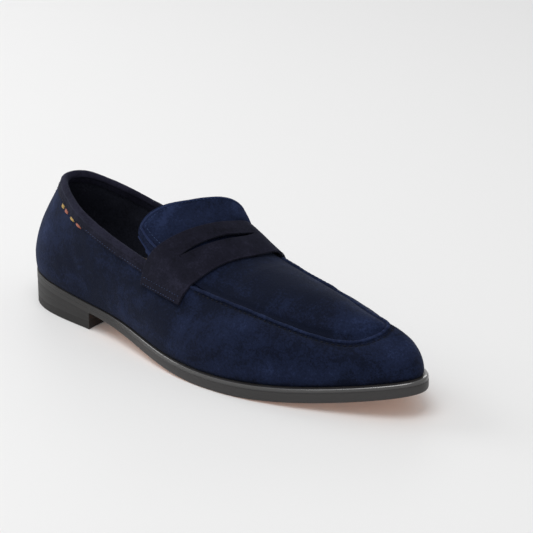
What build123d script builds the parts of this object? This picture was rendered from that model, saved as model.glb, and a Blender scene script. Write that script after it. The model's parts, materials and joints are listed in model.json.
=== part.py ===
from build123d import *
import math
import os
import numpy as np

# Right-foot penny loafer. Millimetres. +X points to the toe, +Y to the inner (medial) side, +Z up.
# Z = 0 is the floor. Design lengths run from the back of the heel; place() moves them to the
# frame whose origin is under the middle of the shoe.

# ---- driving dimensions -------------------------------------------------------------------
SOLE_LENGTH = 305.5
HEEL_X = 0.5              # the sole starts this far in front of the back of the upper
MIDDLE_X = 152.8          # from the back of the heel to the origin
AXIS_Y = 3.25             # the sole's long axis, inside of the origin
BREAST_X = 71.0           # front face of the heel block
TOP_PIECE = 5.5           # rubber top piece of the heel
WELT = 2.6
INSOLE = 2.2
FOAM_HEEL, FOAM_TOE = 3.0, 1.0
SOCK = 0.9
SUEDE = 1.3
CORE = (1.5, 2.2)         # depth range of counter, puff and side stays under the suede
LINING = (2.5, 3.2)       # depth range of the lining
STRAP = 1.6
BINDING_DEPTH = 7.0       # how far the collar binding reaches down outside
PIPING_RADIUS = 1.1
WALL_TOP = 0.95           # share of a rib that the wall covers, the seam takes the rest

# Half breadths of the sole over sin(turn), at nine even turns from the heel to the toe.
SOLE_LATERAL = (60, 57, 46, 40.4, 51.1, 54.3, 46, 41, 42)
SOLE_MEDIAL = (60, 56, 43, 31.5, 33, 50.5, 53.5, 45, 42)
# Heights at ten even stations from the heel to the toe.
SOLE_HEIGHT = (16.5, 14.6, 11.4, 7.7, 3.3, 0.3, 0.0, 2.4, 7.6, 14.8)
FEATHER_HEIGHT = (22.5, 20.3, 17.2, 15.0, 11.4, 9.1, 9.1, 11.5, 16.6, 23.3)
# Top line of the side wall: collar at the back, apron seam at the front.
RIM_BACK_X, RIM_TIP_X = 19.5, 274.5
RIM_LATERAL = (36, 38.1, 41.1, 38.1, 37.8, 38.2, 39, 42, 34)
RIM_MEDIAL = (36, 31.6, 31.9, 29.8, 29.5, 25.9, 21.4, 16.5, 34)
RIM_LATERAL_Z = (83.0, 82, 73.8, 62.5, 52.8, 46.7, 39.7, 38, 44)
RIM_MEDIAL_Z = (83.0, 81.4, 72.3, 62, 57.5, 51.2, 46.8, 45.6, 44)
RIM_SKEW = (2.0, 5.0)     # sideways place of the rim's back and of its tip
# Shape of the wall's ribs: welt ledge, swell above the foot, and the pull under the rim.
LEDGE = (1.0, 0.9, 0.8, 0.8, 1.5, 2.4, 2.8, 3.0, 3.2)
FOOT_OUT = (5.0, 4.5, 3.5, 3.0, 2.5, 1.5, 1.2, 1.4, 1.6)
FOOT_UP = (0.33, 0.33, 0.35, 0.36, 0.42, 0.46, 0.50, 0.52, 0.52)
RIM_OUT = (9.0, 7.0, 4.0, 4.0, 9.0, 14.0, 14.0, 15.0, 17.0)
RIM_DOWN = (0.33, 0.33, 0.35, 0.33, 0.25, 0.16, 0.14, 0.14, 0.14)
SPINE_X, SPINE_Y = (48.0, 238.0), 2.0   # ribs stand in upright planes that leave this line
FOOT_LIFT = 0.1           # glue gap between the wall's foot and the welt
BLOCK_BOTTOM, BLOCK_HEIGHT, BLOCK_HALF = -8.0, 60.0, 90.0  # rough blocks that enclose the sole


def smooth_curve(values):
    """A natural cubic through evenly spaced values, as a function of 0 to 1."""
    last = len(values) - 1
    matrix, right = np.eye(last + 1), np.zeros(last + 1)
    for i in range(1, last):
        matrix[i, i - 1 : i + 2] = (1, 4, 1)
        right[i] = 6 * (values[i - 1] - 2 * values[i] + values[i + 1])
    bend = np.linalg.solve(matrix, right)

    def curve(share):
        reach = min(max(share, 0.0), 1.0) * last
        i = min(int(reach), last - 1)
        u = reach - i
        v = 1 - u
        straight = v * values[i] + u * values[i + 1]
        return float(straight + ((v**3 - v) * bend[i] + (u**3 - u) * bend[i + 1]) / 6)

    return curve


sole_side = {-1: smooth_curve(SOLE_LATERAL), 1: smooth_curve(SOLE_MEDIAL)}
rim_side = {-1: smooth_curve(RIM_LATERAL), 1: smooth_curve(RIM_MEDIAL)}
rim_height = {-1: smooth_curve(RIM_LATERAL_Z), 1: smooth_curve(RIM_MEDIAL_Z)}
sole_height, feather_height = smooth_curve(SOLE_HEIGHT), smooth_curve(FEATHER_HEIGHT)
ledge_at, foot_out, foot_up = smooth_curve(LEDGE), smooth_curve(FOOT_OUT), smooth_curve(FOOT_UP)
rim_out, rim_down = smooth_curve(RIM_OUT), smooth_curve(RIM_DOWN)


def place(x, y, z):
    """A design point, measured from the back of the heel, in the shoe's own frame."""
    return Vector(x - MIDDLE_X, y + AXIS_Y, z)


def sole_z(x):
    """Height of the outsole's underside at design length x: flat tread, waist and toe spring."""
    return max(0.0, sole_height((x - HEEL_X) / SOLE_LENGTH))


def feather_z(x):
    """Height of the feather line, where the upper meets the welt."""
    return feather_height((x - HEEL_X) / SOLE_LENGTH)


def outline(turn, inset=0.0):
    """Sole outline at a turn from -pi (lateral toe) through 0 (heel) to pi, moved inward."""

    def edge(angle):
        side = -1 if angle < 0 else 1
        breadth = sole_side[side](abs(angle) / math.pi)
        x = HEEL_X + SOLE_LENGTH / 2 * (1 - math.cos(angle))
        return np.array([x, math.sin(angle) * breadth])

    step = 1e-3
    tangent = edge(turn + step) - edge(turn - step)
    inward = np.array([tangent[1], -tangent[0]]) / np.linalg.norm(tangent)
    return edge(turn) + inset * inward


def rim(turn):
    """Top line of the wall at a turn, as a design point. A turn past pi comes round again."""
    turn = math.remainder(turn, 2 * math.pi)
    side, share = (-1 if turn < 0 else 1), abs(turn) / math.pi
    sweep = (1 - math.cos(turn)) / 2
    x = RIM_BACK_X + (RIM_TIP_X - RIM_BACK_X) * sweep
    y = RIM_SKEW[0] + (RIM_SKEW[1] - RIM_SKEW[0]) * sweep + math.sin(turn) * rim_side[side](share)
    return np.array([x, y, rim_height[side](share)])


def rim_on_line(turn, spine, outward):
    """Where the rim crosses the line that leaves the spine in a direction, near a turn."""

    def off_line(angle):
        away = rim(angle)[:2] - spine
        return away[0] * outward[1] - away[1] * outward[0]

    low, high = turn - 0.5, turn + 0.5
    low_sign = off_line(low) > 0
    for _ in range(40):
        middle = (low + high) / 2
        if (off_line(middle) > 0) == low_sign:
            low = middle
        else:
            high = middle
    return rim((low + high) / 2)


def rib(turn):
    """One rib of the wall: its foot, its outward direction and its four Bezier poles (out, up)."""
    share = abs(turn) / math.pi
    foot = outline(turn, ledge_at(share))
    sweep = (1 - math.cos(turn)) / 2
    spine = np.array([SPINE_X[0] + (SPINE_X[1] - SPINE_X[0]) * sweep, SPINE_Y])
    outward = (foot - spine) / np.linalg.norm(foot - spine)
    top = rim_on_line(turn, spine, outward)
    run = float((foot - top[:2]) @ outward)
    low, high = feather_z(foot[0]) + FOOT_LIFT, top[2]
    rise = high - low
    poles = (
        (0.0, low),
        (foot_out(share), low + foot_up(share) * rise),
        (rim_out(share) - run, high - rim_down(share) * rise),
        (-run, high),
    )
    return foot, outward, np.array(poles)


def rib_point(turn, share, depth):
    """A point of a rib in its own plane (out, up), a depth under the outer surface."""
    poles = rib(turn)[2]
    v, u = share, 1 - share
    spot = u**3 * poles[0] + 3 * u * u * v * poles[1] + 3 * u * v * v * poles[2] + v**3 * poles[3]
    slope = 3 * (
        u * u * (poles[1] - poles[0]) + 2 * u * v * (poles[2] - poles[1]) + v * v * (poles[3] - poles[2])
    )
    inward = np.array([-slope[1], slope[0]]) / np.linalg.norm(slope)
    return tuple(spot + depth * inward)


def rib_plane(turn):
    """The upright plane that holds a rib, with its x axis pointing out of the shoe."""
    foot, outward, _ = rib(turn)
    normal = (outward[1], -outward[0], 0)
    return Plane(origin=place(foot[0], foot[1], 0), x_dir=(outward[0], outward[1], 0), z_dir=normal)


def wall_sheet(turns, outer, inner, low, high):
    """Loft one sheet of the wall, between two depths and between two shares of the ribs."""
    shares = even(low, high, 7)
    sections = []
    for turn in turns:
        with BuildSketch(rib_plane(turn)) as section:
            with BuildLine():
                outside = Spline(*[rib_point(turn, s, outer) for s in shares])
                inside = Spline(*[rib_point(turn, s, inner) for s in shares])
                Line(outside @ 0, inside @ 0)
                Line(outside @ 1, inside @ 1)
            make_face()
        sections.append(section.sketch)
    loft(sections)


def even(start, stop, count):
    return [start + (stop - start) * i / (count - 1) for i in range(count)]


def both_halves(outer, inner, low, high):
    """A sheet that runs right round the shoe, from the heel to the toe on each side."""
    wall_sheet(even(-math.pi, 0, 19), outer, inner, low, high)
    wall_sheet(even(0, math.pi, 19), outer, inner, low, high)


def plan_block(inset, mode=Mode.ADD, bottom=BLOCK_BOTTOM, height=BLOCK_HEIGHT):
    """A block with the sole's plan, moved inward."""
    spots = [outline(turn, inset) for turn in even(-math.pi, math.pi, 49)[:-1]]
    with BuildSketch(Plane.XY.offset(bottom)) as plan:
        with BuildLine():
            Spline(*[(x - MIDDLE_X, y + AXIS_Y) for x, y in spots], periodic=True)
        make_face()
    extrude(plan.sketch, amount=height, mode=mode)


STATION_STEP, STATION_LEAD = 12.0, 8.0


def between_heights(low, high, count=28):
    """Keep only what lies between two height curves along the shoe."""
    stations = [STATION_STEP * i - STATION_LEAD for i in range(count)]
    with BuildSketch(Plane.XZ) as side_view:
        with BuildLine():
            under = Spline(*[(x - MIDDLE_X, low(x)) for x in stations])
            over = Spline(*[(x - MIDDLE_X, high(x)) for x in stations])
            Line(under @ 0, over @ 0)
            Line(under @ 1, over @ 1)
        make_face()
    extrude(side_view.sketch, amount=BLOCK_HALF, both=True, mode=Mode.INTERSECT)


def outsole_top(x):
    return feather_z(x) - WELT


def insole_top(x):
    return feather_z(x) + INSOLE


def foam_top(x):
    return insole_top(x) + FOAM_HEEL + (FOAM_TOE - FOAM_HEEL) * min(max(x / 260, 0), 1)


def sock_top(x):
    return foam_top(x) + SOCK


def lift_height(level):
    """Height curve of the joint over heel lift number level, 0 being the top piece."""
    return lambda x: TOP_PIECE + (sole_z(x) - TOP_PIECE) * level / 2


def save(part, name):
    part.label = name
    export_step(part, f"parts/{name}.step")


os.makedirs("parts", exist_ok=True)

# ---- bottom: outsole, welt, filler and shank ----------------------------------------------
NAIL_SPOTS = ((16, 0), (30, -15), (30, 15), (54, -17), (54, 17))
NAIL_RADIUS, NAIL_BITE = 0.9, 2.0


def nail_shafts(mode):
    """Upright shafts at the nail spots, from the top piece into the outsole."""
    for x, y in NAIL_SPOTS:
        with BuildSketch(Plane.XY.offset(TOP_PIECE)) as shaft:
            with Locations((x - MIDDLE_X, y + AXIS_Y)):
                Circle(NAIL_RADIUS)
        extrude(shaft.sketch, amount=sole_z(x) + NAIL_BITE - TOP_PIECE, mode=mode)


with BuildPart() as outsole:
    plan_block(0.0)
    between_heights(sole_z, outsole_top)
    nail_shafts(Mode.SUBTRACT)
save(outsole.part, "outsole")

WELT_WIDTH = 11.0
with BuildPart() as welt:
    plan_block(0.0)
    plan_block(WELT_WIDTH, mode=Mode.SUBTRACT)
    between_heights(outsole_top, feather_z)
save(welt.part, "welt")

SHANK_X, SHANK_LENGTH, SHANK_WIDTH, SHANK_THICK = 95.0, 96.0, 15.0, 1.0
SHANK_DEPTH = 0.8         # from the feather line down to the shank
SHANK_SHIFT = 1.0         # it lies this far to the lateral side of the sole's axis
SHANK_PLAN = Location((SHANK_X - MIDDLE_X, AXIS_Y - SHANK_SHIFT, 0))


def shank_top(x):
    return feather_z(x) - SHANK_DEPTH


def shank_bottom(x):
    return shank_top(x) - SHANK_THICK


with BuildPart() as shank:
    with BuildSketch(Plane.XY.offset(BLOCK_BOTTOM)):
        with Locations(SHANK_PLAN):
            SlotOverall(SHANK_LENGTH, SHANK_WIDTH)
    extrude(amount=BLOCK_HEIGHT)
    between_heights(shank_bottom, shank_top)
save(shank.part, "shank")

with BuildPart() as cork_filler:
    plan_block(WELT_WIDTH)
    between_heights(outsole_top, feather_z)
    add(shank.part, mode=Mode.SUBTRACT)
save(cork_filler.part, "cork_filler")

# ---- heel: two stacked lifts, rubber top piece, nails -------------------------------------
BREAST_RADIUS, BREAST_HOLLOW = 150.0, 2.0   # the heel's front face is a shallow hollow
HEEL_INSET = 0.3          # the heel block stands in from the sole's edge
BEHIND = 40.0             # rough block behind the heel


def heel_plan():
    """Keep only what lies behind the heel's hollow front face."""
    with BuildSketch(Plane.XY.offset(BLOCK_BOTTOM)) as plan:
        with Locations(((BREAST_X - BEHIND) / 2 - MIDDLE_X, AXIS_Y)):
            Rectangle(BREAST_X + BEHIND, 2 * BLOCK_HALF)
        with Locations((BREAST_X - MIDDLE_X + BREAST_RADIUS - BREAST_HOLLOW, AXIS_Y)):
            Circle(BREAST_RADIUS, mode=Mode.SUBTRACT)
    extrude(plan.sketch, amount=BLOCK_HEIGHT, mode=Mode.INTERSECT)


for level in (1, 2):
    with BuildPart() as heel_lift:
        plan_block(HEEL_INSET)
        between_heights(lift_height(level - 1), lift_height(level), count=9)
        heel_plan()
        nail_shafts(Mode.SUBTRACT)
    save(heel_lift.part, f"heel_lift_{level}")

with BuildPart() as heel_top_piece:
    plan_block(HEEL_INSET, bottom=0.0, height=TOP_PIECE)
    heel_plan()
save(heel_top_piece.part, "heel_top_piece")

with BuildPart() as heel_nails:
    nail_shafts(Mode.ADD)
save(heel_nails.part, "heel_nails")

# ---- inside the shoe: insole board, foam footbed, sock ------------------------------------
INSIDE = 6.6              # from the sole's edge to the inside of the lining
with BuildPart() as insole_board:
    plan_block(INSIDE)
    between_heights(feather_z, insole_top)
save(insole_board.part, "insole_board")

with BuildPart() as footbed_foam:
    plan_block(INSIDE)
    between_heights(insole_top, foam_top)
save(footbed_foam.part, "footbed_foam")

with BuildPart() as sock_liner:
    plan_block(INSIDE)
    between_heights(foam_top, sock_top)
save(sock_liner.part, "sock_liner")

# ---- side wall and what stiffens and lines it ---------------------------------------------
with BuildPart() as side_wall:
    both_halves(0.0, SUEDE, 0.0, WALL_TOP)
save(side_wall.part, "side_wall")

with BuildPart() as side_lining:
    both_halves(*LINING, 0.0, WALL_TOP)
save(side_lining.part, "side_lining")

COUNTER_END_X, PUFF_START_X = 92.0, 238.0
CORE_SHARES = (0.02, 0.88)      # the stiffeners stop short of the sole and of the rim
counter_end_plane = Plane.YZ.offset(COUNTER_END_X - MIDDLE_X)
puff_start_plane = Plane.YZ.offset(PUFF_START_X - MIDDLE_X)


def stiffening():
    """The layer between suede and lining, right round the shoe."""
    both_halves(*CORE, *CORE_SHARES)


with BuildPart() as heel_counter:
    stiffening()
    split(bisect_by=counter_end_plane, keep=Keep.BOTTOM)
save(heel_counter.part, "heel_counter")

with BuildPart() as toe_puff:
    stiffening()
    split(bisect_by=puff_start_plane, keep=Keep.TOP)
save(toe_puff.part, "toe_puff")

for name, side in (("side_stay_lateral", Keep.TOP), ("side_stay_medial", Keep.BOTTOM)):
    with BuildPart() as side_stay:
        stiffening()
        split(bisect_by=counter_end_plane, keep=Keep.TOP)
        split(bisect_by=puff_start_plane, keep=Keep.BOTTOM)
        split(bisect_by=Plane.XZ.offset(-AXIS_Y), keep=side)
    save(side_stay.part, name)


# ---- apron, tongue and their linings ------------------------------------------------------
# Chords across the instep from the lateral to the inner edge, and the crest above each middle.
# The first ones join the two seams in front of the strap, the last ones are the tongue.
SEAM_TURNS = (2.95, 2.8, 2.6, 2.35, 2.1, 1.85)
SEAM_CREST = (45.3, 47.2, 49.5, 53.5, 57.6, 60.5)
TONGUE_CHORDS = (
    ((162, -32.2, 52.2), (163, 31.0, 56.5), 66.0),
    ((148, -31.4, 55.0), (152, 30.5, 59.0), 74.8),
    ((134, -30.9, 59.5), (151, 30.0, 64.5), 81.5),
    ((121, -30.6, 64.5), (149, 29.2, 70.0), 87.0),
    ((112, -30.6, 72.6), (146, 28.0, 75.5), 91.0),
)
SEAM_CLEAR = 2.1          # from the rim to the apron's cut edge


def chords():
    """All chords from the toe to the tongue's top: two ends, crest height and fullness."""
    rows = []
    for turn, crest in zip(SEAM_TURNS, SEAM_CREST):
        left, right = rim(-turn), rim(turn)
        along = (right - left) / np.linalg.norm(right - left)
        rows.append((left + SEAM_CLEAR * along, right - SEAM_CLEAR * along, crest, 2.0, 1.0))
    for i, (left, right, crest) in enumerate(TONGUE_CHORDS):
        grow = (i + 1) / len(TONGUE_CHORDS)
        rows.append((np.array(left, float), np.array(right, float), crest, 2 + grow, 1 + grow))
    return rows


def arch_point(row, share, depth):
    """A point of an arch in its own upright plane (across, up), a depth under its surface."""
    left, right, crest, power, root = row
    run = float(np.linalg.norm(right[:2] - left[:2]))
    rise = crest - (left[2] + right[2]) / 2

    def spot(s):
        swell = max(0.0, 1 - abs(2 * s - 1) ** power) ** (1 / root)
        return np.array([s * run, left[2] + s * (right[2] - left[2]) + rise * swell])

    step = 2e-3
    ahead, behind = spot(min(share + step, 1)), spot(max(share - step, 0))
    slope = (ahead - behind) / np.linalg.norm(ahead - behind)
    return tuple(spot(share) + depth * np.array([slope[1], -slope[0]]))


def arch_plane(row):
    left, right = row[0], row[1]
    across = (right - left)[:2] / np.linalg.norm((right - left)[:2])
    return Plane(
        origin=place(left[0], left[1], 0),
        x_dir=(across[0], across[1], 0),
        z_dir=(across[1], -across[0], 0),
    )


def arch_sheet(rows, outer, inner, margin=0.0):
    """Loft one sheet over the instep, between two depths, its edges cut back by a margin."""
    shares = [0.5 - 0.5 * math.cos(math.pi * i / 10) for i in range(11)]
    sections = []
    for row in rows:
        run = float(np.linalg.norm((row[1] - row[0])[:2]))
        cut = margin / run
        spread = [cut + (1 - 2 * cut) * s for s in shares]
        with BuildSketch(arch_plane(row)) as section:
            with BuildLine():
                over = Spline(*[arch_point(row, s, outer) for s in spread])
                under = Spline(*[arch_point(row, s, inner) for s in spread])
                Line(over @ 0, under @ 0)
                Line(over @ 1, under @ 1)
            make_face()
        sections.append(section.sketch)
    loft(sections)


with BuildPart() as apron:
    arch_sheet(chords(), 0.0, SUEDE)
save(apron.part, "apron")

UNDERLAY_DEPTH, UNDERLAY_MARGIN = (1.7, 2.4), 1.2
VAMP_LINING_END_X, LINING_GAP = 150.0, 0.3


def lining_under_apron():
    arch_sheet(chords(), *UNDERLAY_DEPTH, margin=UNDERLAY_MARGIN)


with BuildPart() as apron_lining:
    lining_under_apron()
    split(bisect_by=Plane.YZ.offset(VAMP_LINING_END_X - MIDDLE_X), keep=Keep.TOP)
save(apron_lining.part, "apron_lining")

with BuildPart() as tongue_underlay:
    lining_under_apron()
    split(bisect_by=Plane.YZ.offset(VAMP_LINING_END_X - LINING_GAP - MIDDLE_X), keep=Keep.BOTTOM)
save(tongue_underlay.part, "tongue_underlay")

# ---- seams, binding, strap and small trim -------------------------------------------------
PIPING_TURNS = (-1.69, 1.80)    # the seam bead ends at the strap's front edge on both sides
BEAD_STEP = 0.01


def bead_half(turns):
    """Loft the round bead over the apron seam along one side."""
    sections = []
    for turn in turns:
        ahead, behind = rim(turn + BEAD_STEP), rim(turn - BEAD_STEP)
        along = (ahead - behind) / np.linalg.norm(ahead - behind)
        across = np.cross((0, 0, 1), along)
        plane = Plane(origin=place(*rim(turn)), x_dir=tuple(across), z_dir=tuple(along))
        with BuildSketch(plane) as section:
            Circle(PIPING_RADIUS)
        sections.append(section.sketch)
    loft(sections)


with BuildPart() as apron_piping:
    bead_half(even(-math.pi, PIPING_TURNS[0], 13))
    bead_half(even(PIPING_TURNS[1], math.pi, 13))
save(apron_piping.part, "apron_piping")

BINDING_TURNS = (-1.345, 1.50)  # it runs round the heel and ends at the strap on both sides
BINDING_OUT, BINDING_IN, BINDING_SKIN = -0.9, 4.1, 0.8
CROWN = 1.2               # height of the fold over the rim
FOLD_SHARE = 0.985        # the share of a rib at which the binding starts to fold over


def fold_line(turn, start, out, inn, crown):
    """A line up the outside of the collar, over its edge and down the inside."""
    shares = even(start, FOLD_SHARE, 4)
    up = [rib_point(turn, v, out) for v in shares]
    down = [rib_point(turn, v, inn) for v in reversed(shares)]
    middle = (np.array(rib_point(turn, 1, out)) + np.array(rib_point(turn, 1, inn))) / 2
    return up + [tuple(middle + np.array((0, crown)))] + down


def binding_section(turn):
    """The collar binding's section: a strip folded over the edges of wall and lining."""
    poles = rib(turn)[2]
    start = 1 - BINDING_DEPTH / float(np.linalg.norm(poles[3] - poles[0]))
    inside = (BINDING_OUT + BINDING_SKIN, BINDING_IN - BINDING_SKIN)
    with BuildSketch(rib_plane(turn)) as section:
        with BuildLine():
            skin = Spline(*fold_line(turn, start, BINDING_OUT, BINDING_IN, CROWN))
            hidden = Spline(*fold_line(turn, start, *inside, CROWN - BINDING_SKIN))
            Line(skin @ 0, hidden @ 0)
            Line(skin @ 1, hidden @ 1)
        make_face()
    return section.sketch


with BuildPart() as collar_binding:
    for turn_end in BINDING_TURNS:
        loft([binding_section(turn) for turn in even(min(turn_end, 0), max(turn_end, 0), 11)])
save(collar_binding.part, "collar_binding")

BACKSTAY_TURN, BACKSTAY_DEPTH, BACKSTAY_SHARE = 0.09, (-0.9, -0.1), (0.03, 0.86)
with BuildPart() as backstay:
    wall_sheet(even(-BACKSTAY_TURN, BACKSTAY_TURN, 5), *BACKSTAY_DEPTH, *BACKSTAY_SHARE)
save(backstay.part, "backstay")

# Outer rear and front edge of the saddle strap, from its lateral tab over the crest to the
# inner tab. It lies on wall and apron by its edges and spans the hollow between them.
STRAP_REAR = (
    (122.7, -40.8, 45.6),
    (121.5, -37.6, 52.5),
    (122.3, -34.2, 60.0),
    (127.0, -31.0, 68.0),
    (134.7, -24.9, 74.8),
    (141.5, -14.5, 79.1),
    (147.0, 0.0, 80.1),
    (150.4, 13.8, 78.1),
    (151.8, 25.0, 74.5),
    (152.0, 31.5, 66.0),
    (150.0, 35.9, 57.0),
    (148.5, 38.1, 50.0),
    (148.0, 38.6, 44.0),
)
STRAP_FRONT = (
    (156.8, -44.2, 42.4),
    (157.2, -40.2, 48.0),
    (158.8, -35.6, 52.8),
    (162.1, -30.8, 56.9),
    (165.0, -23.8, 60.5),
    (168.2, -13.5, 63.5),
    (172.0, -2.0, 64.4),
    (174.2, 8.0, 63.7),
    (175.0, 20.6, 62.6),
    (173.8, 29.4, 59.3),
    (171.8, 35.7, 54.2),
    (170.3, 39.3, 48.2),
    (169.3, 40.5, 41.2),
)
STRAP_MIDDLES = [tuple((a + b) / 2 for a, b in zip(*pair)) for pair in zip(STRAP_REAR, STRAP_FRONT)]
# Crescent slot over the crest: points on its middle line and its width at each.
SLOT_LINE = (
    (145.0, -27.0, 67.0),
    (150.0, -19.0, 71.0),
    (154.0, -8.0, 72.6),
    (157.0, 4.5, 71.8),
    (159.0, 16.0, 69.0),
)
SLOT_WIDTHS = (0.8, 2.2, 3.0, 2.2, 0.8)
SLOT_ACROSS = (0.86, 0.0, -0.51)


def cross_plane(line, i, across):
    """The plane across a band at point i of a line: x along its width, y into the shoe."""
    along = Vector(*line[min(i + 1, len(line) - 1)]) - Vector(*line[max(i - 1, 0)])
    along = along - across * (along.dot(across) / across.dot(across))
    return Plane(place(*line[i]), x_dir=across, z_dir=along)


def strap_section(i):
    across = Vector(*STRAP_FRONT[i]) - Vector(*STRAP_REAR[i])
    with BuildSketch(cross_plane(STRAP_MIDDLES, i, across)) as section:
        Rectangle(across.length, STRAP, align=(Align.CENTER, Align.MIN))
    return section.sketch


def slot_section(i):
    with BuildSketch(cross_plane(SLOT_LINE, i, Vector(*SLOT_ACROSS))) as section:
        Rectangle(SLOT_WIDTHS[i], 6 * STRAP)
    return section.sketch


with BuildPart() as saddle_strap:
    loft([strap_section(i) for i in range(len(STRAP_MIDDLES))])
    loft([slot_section(i) for i in range(len(SLOT_LINE))], mode=Mode.SUBTRACT)
save(saddle_strap.part, "saddle_strap")

# Small contrast bar tacks in the wall under the binding at the lateral back corner.
TACK_TURNS, TACK_STEP = (-0.62, -0.70, -0.80, -0.88), 0.022
TACK_DEPTH, TACK_SHARE = (-0.5, -0.05), (0.855, 0.87)
with BuildPart() as contrast_tacks:
    for tack in TACK_TURNS:
        wall_sheet(even(tack - TACK_STEP, tack + TACK_STEP, 3), *TACK_DEPTH, *TACK_SHARE)
save(contrast_tacks.part, "contrast_tacks")
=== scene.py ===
import json
import math

import bmesh
import bpy
import numpy as np
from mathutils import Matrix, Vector


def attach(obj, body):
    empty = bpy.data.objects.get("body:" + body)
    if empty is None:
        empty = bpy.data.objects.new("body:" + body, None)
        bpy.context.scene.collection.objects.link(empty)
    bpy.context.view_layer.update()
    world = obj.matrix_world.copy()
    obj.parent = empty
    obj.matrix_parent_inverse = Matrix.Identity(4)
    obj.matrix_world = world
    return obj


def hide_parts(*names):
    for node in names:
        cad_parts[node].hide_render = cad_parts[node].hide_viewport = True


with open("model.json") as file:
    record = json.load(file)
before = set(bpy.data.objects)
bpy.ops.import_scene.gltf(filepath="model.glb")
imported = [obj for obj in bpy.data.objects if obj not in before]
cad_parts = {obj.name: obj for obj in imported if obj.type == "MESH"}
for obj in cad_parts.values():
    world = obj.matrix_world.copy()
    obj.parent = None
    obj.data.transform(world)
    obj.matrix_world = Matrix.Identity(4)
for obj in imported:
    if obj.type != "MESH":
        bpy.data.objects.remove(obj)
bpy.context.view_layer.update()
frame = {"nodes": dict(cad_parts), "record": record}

# Design lengths are in millimetres, measured from the back of the heel as in the CAD model:
# +X to the toe, +Y to the inner side, +Z up. to_frame() turns them into the frame's metres.
# Breadths, heights and handles are tables in even steps from the heel to the toe.
SOLE_LENGTH, HEEL_X, BREAST_X = 305.5, 0.5, 71.0
MIDDLE_X, AXIS_Y = 152.8, 3.25  # where the frame's origin lies
TOP_PIECE, WELT, INSOLE, SOCK = 5.5, 2.6, 2.2, 0.9
FOAM = (3.0, 1.0)               # thickness at the heel and at the toe
SUEDE, LINING, STRAP = 1.3, (2.5, 3.2), 1.6
INSIDE = 6.6                    # from the sole's edge in to the sock
FOOT_LIFT = 0.1                 # glue gap between the wall's foot and the welt
SOLE_LATERAL = (60, 57, 46, 40.4, 51.1, 54.3, 46, 41, 42)
SOLE_MEDIAL = (60, 56, 43, 31.5, 33, 50.5, 53.5, 45, 42)
SOLE_HEIGHT = (16.5, 14.6, 11.4, 7.7, 3.3, 0.3, 0.0, 2.4, 7.6, 14.8)
FEATHER_HEIGHT = (22.5, 20.3, 17.2, 15.0, 11.4, 9.1, 9.1, 11.5, 16.6, 23.3)
RIM_X = (19.5, 274.5)           # its back at the collar and its tip over the toe
RIM_LATERAL = (36, 38.1, 41.1, 38.1, 37.8, 38.2, 39, 42, 34)
RIM_MEDIAL = (36, 31.6, 31.9, 29.8, 29.5, 25.9, 21.4, 16.5, 34)
RIM_LATERAL_Z = (83.0, 82, 73.8, 62.5, 52.8, 46.7, 39.7, 38, 44)
RIM_MEDIAL_Z = (83.0, 81.4, 72.3, 62, 57.5, 51.2, 46.8, 45.6, 44)
RIM_SKEW = (2.0, 5.0)
# The wall's foot inside the sole's edge, and its handles outward and up or down.
LEDGE = (1.0, 0.9, 0.8, 0.8, 1.5, 2.4, 2.8, 3.0, 3.2)
FOOT_OUT = (5.0, 4.5, 3.5, 3.0, 2.5, 1.5, 1.2, 1.4, 1.6)
FOOT_UP = (0.33, 0.33, 0.35, 0.36, 0.42, 0.46, 0.50, 0.52, 0.52)
RIM_OUT = (9.0, 7.0, 4.0, 4.0, 9.0, 14.0, 14.0, 15.0, 17.0)
RIM_DOWN = (0.33, 0.33, 0.35, 0.33, 0.25, 0.16, 0.14, 0.14, 0.14)
SPINE_X, SPINE_Y = (48.0, 238.0), 2.0   # the line that the ribs' outward directions leave
SEAM_TURNS = (2.95, 2.8, 2.6, 2.35, 2.1, 1.85)
SEAM_CREST = (45.3, 47.2, 49.5, 53.5, 57.6, 60.5)   # the apron's crest at those turns
# Lateral end, medial end and crest height of the tongue's arches, from the strap to its top.
TONGUE_CHORDS = (
    ((162, -32.2, 52.2), (163, 31.0, 56.5), 66.0),
    ((148, -31.4, 55.0), (152, 30.5, 59.0), 74.8),
    ((134, -30.9, 59.5), (151, 30.0, 64.5), 81.5),
    ((121, -30.6, 64.5), (149, 29.2, 70.0), 87.0),
    ((112, -30.6, 72.6), (146, 28.0, 75.5), 91.0),
)
# The strap's two edges, from the lateral end over the instep to the medial end.
STRAP_REAR = (
    (122.7, -40.8, 45.6), (121.5, -37.6, 52.5), (122.3, -34.2, 60.0),
    (127.0, -31.0, 68.0), (134.7, -24.9, 74.8), (141.5, -14.5, 79.1),
    (147.0, 0.0, 80.1), (150.4, 13.8, 78.1), (151.8, 25.0, 74.5),
    (152.0, 31.5, 66.0), (150.0, 35.9, 57.0), (148.5, 38.1, 50.0),
    (148.0, 38.6, 44.0),
)
STRAP_FRONT = (
    (156.8, -44.2, 42.4), (157.2, -40.2, 48.0), (158.8, -35.6, 52.8),
    (162.1, -30.8, 56.9), (165.0, -23.8, 60.5), (168.2, -13.5, 63.5),
    (172.0, -2.0, 64.4), (174.2, 8.0, 63.7), (175.0, 20.6, 62.6),
    (173.8, 29.4, 59.3), (171.8, 35.7, 54.2), (170.3, 39.3, 48.2),
    (169.3, 40.5, 41.2),
)
SEAM_START = (-1.62, 1.77)      # turns where the strap's front edge crosses the apron seam
BINDING_TURNS = (-1.45, 1.60)
BINDING_DEPTH = 7.0
BEAD = 1.15                     # radius of the raised seam


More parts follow.
